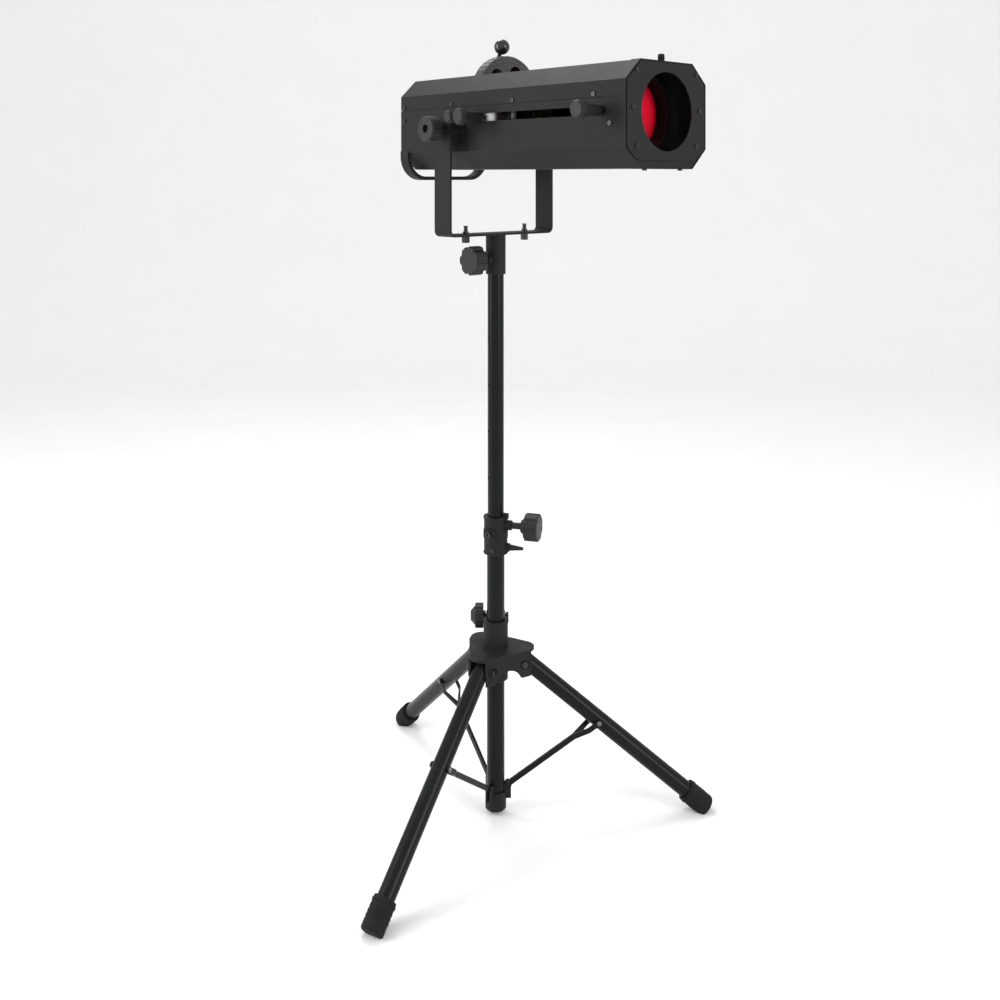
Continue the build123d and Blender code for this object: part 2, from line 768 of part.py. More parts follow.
face_spots = ((-87, 79), (87, 79), (-87, -57), (87, -57), (-97, 11), (97, 11))
seam_spots = ((392, 37.5), (175.4, 37.5), (-11, 37.5), (-171, 37.5), (-171, 8.4), (432, -16.7))
head_r = 4.2
head_h = 2.4
with BuildPart() as housing_screws:
    with BuildSketch(cross_plane(plate_x + 2.2)):
        with Locations(*face_spots):
            Circle(head_r)
    extrude(amount=head_h)
    with BuildSketch(cross_plane(plate_x + 2.2 + head_h)):
        with Locations(*face_spots):
            RegularPolygon(2.0, 6)
    extrude(amount=-1.3, mode=Mode.SUBTRACT)
    for side in (-1, 1):
        outside = side * (shell_w + head_h)
        for spot in seam_spots:
            with BuildSketch(side_plane(side * shell_w)):
                with Locations(spot):
                    Circle(head_r)
            extrude(amount=-side * head_h)
            with BuildSketch(side_plane(outside)):
                with Locations(spot):
                    RegularPolygon(2.0, 6)
            extrude(amount=side * 1.3, mode=Mode.SUBTRACT)
    with BuildSketch(Plane.XY.offset(lamp_z - half_h)):
        with Locations((front_x - 11, -52), (front_x - 11, 52)):
            Circle(4.5)
    extrude(amount=-3)
    with BuildSketch(side_plane(-lap_in)):
        with Locations((176, slot_z)):
            Circle(4.0)
    extrude(amount=2)
save(housing_screws.part, "housing_screws")

with BuildPart() as top_thumbscrew:
    with BuildSketch(Plane.XY.offset(lamp_z + half_h - 8)):
        with Locations((front_x - 14, 0)):
            Circle(2.5)
    extrude(amount=12)
    with BuildSketch(Plane.XY.offset(lamp_z + half_h + gap)):
        with Locations((front_x - 14, 0)):
            Circle(6.0)
    extrude(amount=14)
    top = top_thumbscrew.faces().sort_by(Axis.Z)[-1]
    chamfer(top.edges(), length=1.0)
save(top_thumbscrew.part, "top_thumbscrew")

fan_y = -50.0
fan_dz = 10.0
fan_half = 40.0
button_r = 4.0
button_ys = (26.0, 42.0, 58.0, 74.0)
button_dz = 28.0
display_y = 50.0
display_dz = 55.0
inlet_y = 60.0
inlet_dz = -48.0
switch_dz = -14.0
socket_ys = (-62.0, -28.0)
socket_dz = -62.0
with BuildPart() as rear_panel:
    with BuildSketch(cross_plane(rear_panel_x)):
        Polygon(*octagon(cap_wall + sheet), align=None)
        for side in (-1, 1):
            with Locations((side * (lap_in - lap_t / 2), seam_z + 2)):
                Rectangle(lap_t + 0.02, 28, mode=Mode.SUBTRACT)
        for y in button_ys:
            with Locations((y, button_dz)):
                Circle(button_r + gap, mode=Mode.SUBTRACT)
        with Locations((display_y, display_dz)):
            Rectangle(50, 18, mode=Mode.SUBTRACT)
        with Locations((inlet_y, inlet_dz)):
            Rectangle(48, 27, mode=Mode.SUBTRACT)
        with Locations((inlet_y, switch_dz)):
            Rectangle(30, 22, mode=Mode.SUBTRACT)
        for y in socket_ys:
            with Locations((y, socket_dz)):
                Circle(12, mode=Mode.SUBTRACT)
        # The fan breathes through a ring of slots.
        with Locations((fan_y, fan_dz)):
            for ring_r in (12, 22, 32):
                for start in (8, 98, 188, 278):
                    with BuildLine(mode=Mode.PRIVATE) as arc:
                        CenterArc((fan_y, fan_dz), ring_r, start, 74)
                    trace(arc.line, 4.0, mode=Mode.SUBTRACT)
    extrude(amount=2)
save(rear_panel.part, "rear_panel")

with BuildPart() as display_window:
    with BuildSketch(cross_plane(rear_panel_x - 0.5)):
        with Locations((display_y, display_dz)):
            Rectangle(50, 18)
    extrude(amount=4)
save(display_window.part, "display_window")

for number, y in enumerate(button_ys, 1):
    with BuildPart() as button:
        with BuildSketch(cross_plane(rear_panel_x - 3.0)):
            with Locations((y, button_dz)):
                Circle(button_r)
        extrude(amount=9)
        with BuildSketch(cross_plane(rear_panel_x + 5.0)):
            with Locations((y, button_dz)):
                Circle(button_r + 1.5)
        extrude(amount=1.2)
    save(button.part, f"menu_button_{number}")

with BuildPart() as power_inlet:
    with BuildSketch(cross_plane(rear_panel_x - 1.5)):
        with Locations((inlet_y, inlet_dz)):
            Rectangle(52, 31)
    extrude(amount=1.5)
    with BuildSketch(cross_plane(rear_panel_x)):
        with Locations((inlet_y, inlet_dz)):
            Rectangle(48, 27)
    extrude(amount=20)
    with BuildSketch(cross_plane(rear_panel_x - 2)):
        with Locations((inlet_y, inlet_dz)):
            RectangleRounded(25, 17, 3)
    extrude(amount=17, mode=Mode.SUBTRACT)
    with BuildSketch(cross_plane(rear_panel_x + 15)):
        with Locations((inlet_y - 7, inlet_dz), (inlet_y, inlet_dz + 3), (inlet_y + 7, inlet_dz)):
            Rectangle(2, 5)
    extrude(amount=-12)
    # The switch sits in its own frame above the inlet.
    with BuildSketch(cross_plane(rear_panel_x - 1.5)):
        with Locations((inlet_y, switch_dz)):
            Rectangle(34, 26)
    extrude(amount=1.5)
    with BuildSketch(cross_plane(rear_panel_x)):
        with Locations((inlet_y, switch_dz)):
            Rectangle(30, 22)
    extrude(amount=16)
    with BuildSketch(cross_plane(rear_panel_x - 2)):
        with Locations((inlet_y, switch_dz)):
            Rectangle(20.6, 17)
    extrude(amount=15, mode=Mode.SUBTRACT)
    with BuildSketch(cross_plane(rear_panel_x + 6)):
        with Locations((inlet_y, (inlet_dz + switch_dz) / 2)):
            Rectangle(24, 16)
    extrude(amount=6)
save(power_inlet.part, "power_inlet")

switch_hinge_x = rear_panel_x + 5.0
rocker_tilt = math.radians(7.0)
with BuildPart() as power_switch:
    rocker_plane = Plane(
        origin=(switch_hinge_x, inlet_y, lamp_z + switch_dz),
        x_dir=(math.cos(rocker_tilt), 0, math.sin(rocker_tilt)),
        z_dir=(0, -1, 0),
    )
    with BuildSketch(rocker_plane):
        with BuildLine():
            Polyline((3, -6), (3, 6), (-7.5, 7), (-5.5, 0), (-7.5, -7), (3, -6))
        make_face()
    extrude(amount=10, both=True)
save(power_switch.part, "power_switch")

with BuildPart() as data_sockets:
    for y in socket_ys:
        with BuildSketch(cross_plane(rear_panel_x - 1.5)):
            with Locations((y, socket_dz)):
                RectangleRounded(26, 30, 3)
        extrude(amount=1.5)
        with BuildSketch(cross_plane(rear_panel_x)):
            with Locations((y, socket_dz)):
                Circle(12)
        extrude(amount=18)
        with BuildSketch(cross_plane(rear_panel_x - 2)):
            with Locations((y, socket_dz)):
                Circle(9.5)
        extrude(amount=15, mode=Mode.SUBTRACT)
        with BuildSketch(cross_plane(rear_panel_x + 13)):
            with Locations((y, socket_dz)):
                with PolarLocations(5, 3, start_angle=90):
                    Circle(1.2)
        extrude(amount=-10)
save(data_sockets.part, "data_sockets")

hoop_t = 8.0
hoop_half = 117.5
hoop_bottom = -122.0
hoop_corner = 52.0
hoop_w = 26.0
with BuildPart() as rear_handle:
    with BuildSketch(cross_plane(rear_x)):
        with Locations((0, (hoop_bottom - 58) / 2)):
            Rectangle(2 * hoop_half, -58 - hoop_bottom)
    extrude(amount=hoop_w)
    low = rear_handle.edges().filter_by(Axis.X).group_by(Axis.Z)[0]
    fillet(low, radius=hoop_corner)
    with BuildSketch(cross_plane(rear_x)):
        with BuildLine():
            inner_half = hoop_half - hoop_t
            inner_low = hoop_bottom + hoop_t
            inner_r = hoop_corner - hoop_t
            l1 = Line((inner_half, 0), (inner_half, inner_low + inner_r))
            a1 = RadiusArc(l1 @ 1, (inner_half - inner_r, inner_low), inner_r)
            l2 = Line(a1 @ 1, (-inner_half + inner_r, inner_low))
            a2 = RadiusArc(l2 @ 1, (-inner_half, inner_low + inner_r), inner_r)
            l3 = Line(a2 @ 1, (-inner_half, 0))
            l4 = Line(l3 @ 1, (inner_half, 0))
        make_face()
    extrude(amount=hoop_w, mode=Mode.SUBTRACT)
    with BuildSketch(cross_plane(rear_x)):
        Polygon(*octagon(cap_wall), align=None)
    extrude(amount=hoop_w, mode=Mode.SUBTRACT)
save(rear_handle.part, "rear_handle")

# ================= fixture: lamp and gate =================
fan_x = rear_panel_x + 2.0
fan_hub_r = 15.0
blade_tilt = math.radians(35)
with BuildPart() as fan_frame:
    with BuildSketch(cross_plane(fan_x)):
        with Locations((fan_y, fan_dz)):
            RectangleRounded(2 * fan_half, 2 * fan_half, 5)
            Circle(fan_half - 2, mode=Mode.SUBTRACT)
    extrude(amount=25)
    with BuildSketch(cross_plane(fan_x + 20)):
        with Locations((fan_y, fan_dz)):
            Circle(fan_hub_r)
            Rectangle(2 * fan_half - 3, 4)
            Rectangle(4, 2 * fan_half - 3)
    extrude(amount=5)
    with BuildSketch(cross_plane(fan_x + 8)):
        with Locations((fan_y, fan_dz)):
            Circle(2.0)
    extrude(amount=12)
save(fan_frame.part, "fan_frame")

with BuildPart() as fan_rotor:
    with BuildSketch(cross_plane(fan_x + 2)):
        with Locations((fan_y, fan_dz)):
            Circle(fan_hub_r)
    extrude(amount=17)
    for blade in range(7):
        turn = 2 * math.pi * blade / 7
        across = math.cos(blade_tilt)
        tilted = Plane(
            origin=(fan_x + 10.5, fan_y, lamp_z + fan_dz),
            x_dir=(0, math.cos(turn), math.sin(turn)),
            z_dir=(
                across,
                -math.sin(turn) * math.sin(blade_tilt),
                math.cos(turn) * math.sin(blade_tilt),
            ),
        )
        with BuildSketch(tilted):
            with Locations((fan_hub_r + 9, 0)):
                Rectangle(23, 16)
        extrude(amount=0.8, both=True)
    with BuildSketch(cross_plane(fan_x + 7)):
        with Locations((fan_y, fan_dz)):
            Circle(2.3)
    extrude(amount=13, mode=Mode.SUBTRACT)
save(fan_rotor.part, "fan_rotor")

sink_rear = -148.0
sink_front = -76.0
sink_half = 62.0
optic_dz = optic_z - lamp_z
with BuildPart() as heat_sink:
    with BuildSketch(cross_plane(sink_front)):
        with Locations((0, optic_dz)):
            Rectangle(2 * sink_half, 2 * sink_half)
    extrude(amount=-8)
    for fin in range(13):
        with BuildSketch(cross_plane(sink_front - 8)):
            with Locations((-sink_half + 1.5 + fin * (2 * sink_half - 3) / 12, optic_dz)):
                Rectangle(2.0, 2 * sink_half)
        extrude(amount=sink_rear - sink_front + 8)
    # Four feet stand on the floor of the lower shell.
    with BuildSketch(cross_plane(sink_front)):
        for y in (-50, 50):
            with Locations((y, (-half_h + cap_wall + sheet + optic_dz - sink_half) / 2)):
                Rectangle(10, optic_dz - sink_half + half_h - cap_wall - sheet)
    extrude(amount=-8)
save(heat_sink.part, "heat_sink")

with BuildPart() as led_module:
    with BuildSketch(cross_plane(sink_front)):
        with Locations((0, optic_dz)):
            Rectangle(50, 50)
    extrude(amount=3)
    with BuildSketch(cross_plane(sink_front + 3)):
        with Locations((0, optic_dz)):
            Circle(13)
    extrude(amount=1.5)
save(led_module.part, "led_module")

gate_x = -30.0
gate_t = 3.0
gate_r = 14.0
iris_in = 30.0
with BuildPart() as gate_plate:
    with BuildSketch(cross_plane(gate_x)):
        Polygon(*octagon(cap_wall + sheet), align=None)
        for side in (-1, 1):
            with Locations((side * (lap_in - lap_t / 2), seam_z + 2)):
                Rectangle(lap_t + 0.02, 28, mode=Mode.SUBTRACT)
        with Locations((0, optic_dz)):
            Circle(gate_r, mode=Mode.SUBTRACT)
        with Locations((rod_y, rod_z - lamp_z), (-rod_y, rod_z - lamp_z)):
            Circle(rod_r, mode=Mode.SUBTRACT)
    extrude(amount=gate_t)
    with BuildSketch(cross_plane(gate_x + gate_t)):
        with Locations((0, optic_dz)):
            Circle(iris_in - gap)
            Circle(24, mode=Mode.SUBTRACT)
    extrude(amount=7)
    with BuildSketch(cross_plane(gate_x + gate_t)):
        with Locations((wheel_y, wheel_z - lamp_z)):
            Circle(4.0)
    extrude(amount=wheel_front + 6 - gate_x - gate_t)
    with BuildSketch(cross_plane(wheel_front + 1)):
        with Locations((wheel_y, wheel_z - lamp_z)):
            Circle(8.0)
    extrude(amount=4)
    # The condenser sits in a ring behind the plate.
    with BuildSketch(cross_plane(gate_x)):
        with Locations((0, optic_dz)):
            Circle(38)
            Circle(34, mode=Mode.SUBTRACT)
    extrude(amount=-22)
    # A tab runs forward to take the lock knob.
    with BuildSketch(side_plane(-100)):
        with Locations(((gate_x + gate_t + lock_knob_x + 10) / 2, slot_z)):
            Rectangle(lock_knob_x + 10 - gate_x - gate_t, 16)
    extrude(amount=8)
    with BuildSketch(side_plane(-90)):
        with Locations((lock_knob_x, slot_z)):
            Circle(4.3)
    extrude(amount=30, mode=Mode.SUBTRACT)
save(gate_plate.part, "gate_plate")


def lens(x_rim, radius, edge, bulge, name):
    # A flat-backed lens, cut from a ball by the cylinder of its rim.
    curve = (radius**2 + bulge**2) / (2 * bulge)
    with BuildPart() as glass:
        with Locations((x_rim + edge + bulge - curve, 0, optic_z)):
            Sphere(curve, rotation=(0, 90, 0))
        with BuildSketch(cross_plane(x_rim)):
            with Locations((0, optic_dz)):
                Circle(radius)
        extrude(amount=edge + bulge + 5, mode=Mode.INTERSECT)
    save(glass.part, name)


lens(-50.0, 34.0, 4.0, 12.0, "condenser_lens")

with BuildPart() as iris_ring:
    with BuildSketch(cross_plane(-25)):
        with Locations((0, optic_dz)):
            Circle(43)
            Circle(iris_in, mode=Mode.SUBTRACT)
    extrude(amount=5)
    pin_y = 38 * wheel_y / filter_pitch
    pin_dz = optic_dz + 38 * (wheel_z - optic_z) / filter_pitch
    with BuildSketch(cross_plane(-20)):
        with Locations((pin_y, pin_dz)):
            Circle(2.4)
    extrude(amount=10)
save(iris_ring.part, "iris_ring")

tail_turn = math.degrees(math.atan2(optic_z - wheel_z, -wheel_y))
lever_t = 4.0
with BuildPart() as iris_lever:
    lever_plane = Plane(origin=(lever_x, wheel_y, wheel_z), x_dir=(0, 1, 0), z_dir=(1, 0, 0))
    with BuildSketch(lever_plane):
        Circle(10)
        with Locations((0, 45)):
            Rectangle(10, 90)
        with Locations(Location((20 * math.cos(math.radians(tail_turn)),
                                 20 * math.sin(math.radians(tail_turn)), 0), (0, 0, tail_turn))):
            Rectangle(24, 18)
        with Locations(Location((24 * math.cos(math.radians(tail_turn)),
                                 24 * math.sin(math.radians(tail_turn)), 0), (0, 0, tail_turn))):
            Rectangle(22, 8, mode=Mode.SUBTRACT)
        Circle(4.3, mode=Mode.SUBTRACT)
    extrude(amount=lever_t / 2, both=True)
    stem_from = Vector(lever_x, wheel_y, wheel_z + 86)
    stem_to = Vector(-2.0, wheel_y, wheel_z + ball_reach)
    stem_dir = (stem_to - stem_from).normalized()
    with BuildSketch(Plane(origin=stem_from, x_dir=(0, 1, 0), z_dir=stem_dir)):
        Circle(4.5)
    extrude(amount=(stem_to - stem_from).length)
    with Locations((stem_to.X, stem_to.Y, stem_to.Z)):
        Sphere(ball_r)
save(iris_lever.part, "iris_lever")

with BuildPart() as colour_wheel:
    wheel_plane = Plane(origin=(wheel_rear, wheel_y, wheel_z), x_dir=(0, 1, 0), z_dir=(1, 0, 0))
    with BuildSketch(wheel_plane):
        Circle(wheel_r)
    extrude(amount=wheel_front - wheel_rear)
    # The rim is hollow between its two plates.
    with BuildSketch(wheel_plane.offset(3)):
        Circle(wheel_r - 3)
        Circle(13, mode=Mode.SUBTRACT)
    extrude(amount=wheel_front - wheel_rear - 6, mode=Mode.SUBTRACT)
    with BuildSketch(wheel_plane):
        Circle(4.3)
        with PolarLocations(filter_pitch, 6, start_angle=tail_turn):
            Circle(filter_r)
    extrude(amount=wheel_front - wheel_rear, mode=Mode.SUBTRACT)
    with BuildSketch(wheel_plane.offset(wheel_front - wheel_rear)):
        Circle(83.5)
        Circle(82, mode=Mode.SUBTRACT)
        Circle(77, mode=Mode.SUBTRACT)
        Circle(75.8)
        Circle(74.6, mode=Mode.SUBTRACT)
    extrude(amount=-1.2, mode=Mode.SUBTRACT)
save(colour_wheel.part, "colour_wheel")

with BuildPart() as colour_filters:
    with BuildSketch(wheel_plane.offset(3)):
        with PolarLocations(filter_pitch, 5, start_angle=tail_turn + 60, angular_range=300):
            Circle(filter_r + 3.5)
    extrude(amount=1.5)
save(colour_filters.part, "colour_filters")

with BuildPart() as guide_rods:
    with BuildSketch(cross_plane(gate_x)):
        with Locations((rod_y, rod_z - lamp_z), (-rod_y, rod_z - lamp_z)):
            Circle(rod_r)
    extrude(amount=436 - gate_x)
    shelf = -half_h + cap_wall + sheet
    with BuildSketch(cross_plane(432)):
        with Locations((0, (shelf - 74) / 2)):
            Rectangle(120, -74 - shelf)
    extrude(amount=4)
save(guide_rods.part, "guide_rods")


foot_h = 34.0
foot_drop = 8.0


def carriage(x_from, x_to, outer, inner, knob_x, name, post):
    with BuildPart() as body:
        with BuildSketch(cross_plane(x_from)):
            with Locations((0, optic_dz)):
                Circle(outer)
        extrude(amount=x_to - x_from)
        with BuildSketch(cross_plane(x_from + 3)):
            with Locations((0, (rod_z - lamp_z) + foot_h / 2 - foot_drop)):
                Rectangle(110, foot_h)
        extrude(amount=x_to - x_from - 6)
        with BuildSketch(side_plane(-60)):
            with Locations((knob_x, slot_z)):
                Rectangle(14, 13)
        extrude(amount=108 - 60)
        if post:
            with BuildSketch(Plane.XY.offset(lamp_z - 22)):
                with Locations((92, -93)):
                    Circle(19)
            extrude(amount=40)
        with BuildSketch(cross_plane(x_from - 1)):
            with Locations((0, optic_dz)):
                Circle(inner)
        extrude(amount=x_to - x_from + 2, mode=Mode.SUBTRACT)
        with BuildSketch(cross_plane(x_from - 1)):
            with Locations((rod_y, rod_z - lamp_z), (-rod_y, rod_z - lamp_z)):
                Circle(rod_r + gap)
        extrude(amount=x_to - x_from + 2, mode=Mode.SUBTRACT)
        with BuildSketch(side_plane(-84)):
            with Locations((knob_x, slot_z)):
                Circle(4.3)
        extrude(amount=60, mode=Mode.SUBTRACT)
    save(body.part, name)


carriage(380, 416, 78, 70, front_knob_x, "front_carriage", False)
carriage(56, 112, 66, 60, rear_knob_x, "rear_carriage", True)
lens(382.0, 70.0, 4.0, 13.0, "front_lens")
lens(66.0, 60.0, 4.0, 11.0, "rear_lens")


def slider_knob(x, radius, neck, stud_in, name):
    plane = side_plane(0, lamp_z + slot_z).shift_origin((x, 0, lamp_z + slot_z))
    with BuildPart() as knob:
        with BuildSketch(plane.offset(stud_in)):
            Circle(4.0)
        extrude(amount=knob_face - 10 - stud_in)
        with BuildSketch(plane.offset(118)):
            Circle(neck)
        with BuildSketch(plane.offset(163)):
            Circle(radius * 0.82)
        loft()
        with BuildSketch(plane.offset(163)):
            Circle(radius)
        extrude(amount=knob_face - 163)
        face = knob.faces().sort_by(Axis(plane.origin, plane.z_dir))[-1]
        chamfer(face.edges(), length=3.0)
    save(knob.part, name)


slider_knob(front_knob_x, 16.7, 9.5, 88, "front_slider_knob")
slider_knob(rear_knob_x, 16.7, 9.5, 88, "rear_slider_knob")
slider_knob(lock_knob_x, 13.0, 8.5, 104, "lock_knob")
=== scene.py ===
import math

import bmesh
import bpy
from mathutils import Matrix, Vector


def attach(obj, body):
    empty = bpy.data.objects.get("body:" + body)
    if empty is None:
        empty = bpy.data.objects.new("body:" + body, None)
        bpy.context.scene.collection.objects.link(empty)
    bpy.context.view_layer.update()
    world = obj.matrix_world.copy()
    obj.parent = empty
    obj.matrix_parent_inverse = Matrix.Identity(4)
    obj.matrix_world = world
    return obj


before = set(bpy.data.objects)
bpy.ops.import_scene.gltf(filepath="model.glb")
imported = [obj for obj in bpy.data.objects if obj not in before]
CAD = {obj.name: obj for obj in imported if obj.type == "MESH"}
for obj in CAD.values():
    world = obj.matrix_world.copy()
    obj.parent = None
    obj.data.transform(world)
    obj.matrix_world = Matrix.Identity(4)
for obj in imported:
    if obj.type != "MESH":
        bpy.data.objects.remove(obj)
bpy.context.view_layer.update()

LAMP_Z = 1.488
OPTIC_Z = 1.494
KNOB_Z = LAMP_Z + 0.0068
WHEEL_X = 0.008
WHEEL_Y = 0.020
WHEEL_Z = LAMP_Z + 0.057
THUMBSCREW_X = 0.456
THUMBSCREW_Z = LAMP_Z + 0.1065
KNOB_HEAD_Y = -0.1705
YOKE_BOLT_Y = 0.086
YOKE_BOLT_THREAD_Z = 1.2588
FOOT_BANDS_ALONG = 0.470
RIB_SINK = 0.0001
LEG_AZIMUTHS = (48.0, 168.0, 288.0)
LEG_LEAN = math.radians(50.8)
LEG_PIVOT_R = 0.062
LEG_PIVOT_Z = 0.330
VIEW_AZIMUTH = 47.28


# ---------------------------------------------------------------- shader writing
class Wire:
    """A shader value that can be added, taken away and multiplied."""

    def __init__(self, finish, socket):
        self.finish = finish
        self.socket = socket

    def __add__(self, other):
        return self.finish.sum("ADD", self, other)

    def __sub__(self, other):
        return self.finish.sum("SUBTRACT", self, other)

    def __rsub__(self, other):
        return self.finish.sum("SUBTRACT", other, self)

    def __mul__(self, other):
        return self.finish.sum("MULTIPLY", self, other)

    __radd__ = __add__
    __rmul__ = __mul__


class Finish:
    """One material, written as the layers a painter or a machinist would leave."""

    def __init__(self, name):
        self.material = bpy.data.materials.new(name)
        self.material.use_nodes = True
        self.tree = self.material.node_tree
        self.tree.nodes.clear()
        self.place = self.node("ShaderNodeTexCoord", output="Object")
        self.facing = self.node("ShaderNodeTexCoord", output="Normal")

    def node(self, kind, settings=None, inputs=None, output=0):
        """Adds any node: its settings first, then the values or wires of its sockets."""
        made = self.tree.nodes.new(kind)
        for key, value in (settings or {}).items():
            setattr(made, key, value)
        for key, value in (inputs or {}).items():
            if isinstance(value, Wire):
                self.tree.links.new(value.socket, made.inputs[key])
            else:
                made.inputs[key].default_value = value
        return Wire(self, made.outputs[output])

    def sum(self, operation, first, second):
        return self.node("ShaderNodeMath", {"operation": operation}, {0: first, 1: second})

    def step(self, value, low, high):
        """0 below low, 1 above high, smooth between."""
        return self.node(
            "ShaderNodeMapRange",
            {"interpolation_type": "SMOOTHSTEP"},
            {"Value": value, "From Min": low, "From Max": high},
        )

    def stretched(self, scale, centre=(0, 0, 0), turn=(0, 0, 0)):
        return self.node(
            "ShaderNodeMapping",
            {"vector_type": "TEXTURE"},
            {
                "Vector": self.place,
                "Location": centre,
                "Rotation": turn,
                "Scale": tuple(1 / s for s in scale),
            },
        )

    def grain(self, scale, detail=2.0, rough=0.5, where=None):
        return self.node(
            "ShaderNodeTexNoise",
            {},
            {"Vector": where or self.place, "Scale": scale, "Detail": detail, "Roughness": rough},
        )

    def pits(self, scale):
        return self.node("ShaderNodeTexVoronoi", {}, {"Vector": self.place, "Scale": scale})

    def mix(self, share, first, second):
        return self.node(
            "ShaderNodeMix", {"data_type": "RGBA"}, {0: share, 6: first, 7: second}, 2
        )

    def softened(self, radius):
        """The surface direction with its sharp edges eased over that radius."""
        return self.node("ShaderNodeBevel", {"samples": 4}, {"Radius": radius})

    def edges(self, radius):
        """1 along sharp edges, 0 on open surfaces."""
        soft = self.softened(radius)
        flat = self.node("ShaderNodeNewGeometry", output="Normal")
        level = self.node(
            "ShaderNodeVectorMath", {"operation": "DOT_PRODUCT"}, {0: soft, 1: flat}, 1
        )
        return self.step(1.0 - level, 0.02, 0.16)

    def axis_part(self, vector, direction):
        return self.node(
            "ShaderNodeVectorMath", {"operation": "DOT_PRODUCT"}, {0: vector, 1: direction}, 1
        )

    def dust(self):
        """Dust that settles where the surface looks up."""
        up = self.step(self.axis_part(self.facing, (0, 0, 1)), 0.55, 0.98)
        return up * self.step(self.grain(38, 5, 0.7), 0.42, 0.72)

    def reach(self, centre, axes=(1, 1, 1)):
        """Distance from a centre, along the chosen axes only."""
        away = self.node(
            "ShaderNodeVectorMath", {"operation": "SUBTRACT"}, {0: self.place, 1: centre}
        )
        held = self.node("ShaderNodeVectorMath", {"operation": "MULTIPLY"}, {0: away, 1: axes})
        return self.node("ShaderNodeVectorMath", {"operation": "LENGTH"}, {0: held}, 1)

    def surface(
        self, colour, rough, height=None, depth=0.0002, ease=0.0006, metal=0.0, gleam=0.5,
        fixed=None,
    ):
        """The finished shader. depth is the bump's height and ease the rounding of its edges."""
        normal = self.softened(ease)
        if height is not None:
            normal = self.node(
                "ShaderNodeBump",
                {},
                {"Strength": 1.0, "Distance": depth, "Height": height, "Normal": normal},
            )
        sockets = {
            "Base Color": colour,
            "Roughness": rough,
            "Metallic": metal,
            "Normal": normal,
            "Specular IOR Level": gleam,
        }
        sockets.update(fixed or {})
        shader = self.node("ShaderNodeBsdfPrincipled", {}, sockets)
        out = self.tree.nodes.new("ShaderNodeOutputMaterial")
        self.tree.links.new(shader.socket, out.inputs["Surface"])
        return self.material


def tone(level, tint=(1, 1, 1)):
    return (level * tint[0], level * tint[1], level * tint[2], 1.0)


# ---------------------------------------------------------------- finishes
def powder_coat(name, level=0.013):
    """Matte black powder coat on folded sheet."""
    f = Finish(name)
    cloud = f.grain(7, 4, 0.6)
    speck = f.grain(420, 3, 0.6)
    peel = f.grain(1500, 2, 0.5)
    worn = f.edges(0.0016) * f.step(f.grain(70, 4, 0.7), 0.50, 0.66)
    scuff = f.step(f.grain(1, 4, 0.7, f.stretched((18, 60, 240))), 0.66, 0.74) * 0.35
    colour = f.mix(cloud, tone(level * 0.82), tone(level * 1.2, (0.98, 1.0, 1.02)))
    colour = f.mix(f.step(speck, 0.62, 0.75) * 0.5, colour, tone(level * 2.0))
    colour = f.mix(scuff * 0.5, colour, tone(0.035))
    colour = f.mix(worn * 0.5, colour, tone(0.09))
    colour = f.mix(f.dust() * 0.12, colour, tone(0.12, (1.0, 0.97, 0.92)))
    rough = 0.44 + speck * 0.14 + cloud * 0.08 - worn * 0.12
    return f.surface(colour, rough, peel * 0.6 + speck * 0.5, 0.00022, 0.0009, gleam=0.13)


def tube_paint(name, rings=False, rivet_azimuth=None):
    """Semi-gloss black enamel on drawn tube."""
    f = Finish(name)
    cloud = f.grain(5, 3, 0.6)
    peel = f.grain(210, 2, 0.4)
    speck = f.grain(900, 2, 0.5)
    drag = f.grain(1, 5, 0.7, f.stretched((9, 9, 900) if rings else (260, 260, 12)))
    scratch = f.step(drag, 0.63, 0.70)
    worn = f.edges(0.0012) * f.step(f.grain(90, 4, 0.7), 0.48, 0.62)
    colour = f.mix(cloud, tone(0.004, (0.90, 1.0, 0.95)), tone(0.009, (0.88, 1.0, 0.95)))
    colour = f.mix(scratch * 0.22, colour, tone(0.03))
    colour = f.mix(worn * 0.7, colour, tone(0.12))
    colour = f.mix(f.dust() * 0.08, colour, tone(0.12, (1.0, 0.97, 0.92)))
    rough = 0.20 + cloud * 0.09 + speck * 0.05 + scratch * 0.16
    metal = worn * 0.6
    height = peel * 0.8 + speck * 0.15 - scratch * 0.05
    if rivet_azimuth is not None:
        turn = math.radians(rivet_azimuth)
        across = f.axis_part(f.place, (math.sin(turn), -math.cos(turn), 0))
        aside = f.node("ShaderNodeMath", {"operation": "ABSOLUTE"}, {0: across})
        rivet = f.step(aside, 0.0212, 0.0214)
        bright = f.mix(f.grain(260, 3, 0.6), tone(0.10), tone(0.22, (1.0, 0.99, 0.96)))
        colour = f.mix(rivet, colour, bright)
        metal = rivet + metal * (1 - rivet)
        rough = rivet * 0.30 + rough * (1 - rivet)
    return f.surface(colour, rough, height, 0.00012, 0.0006, metal, 0.13)


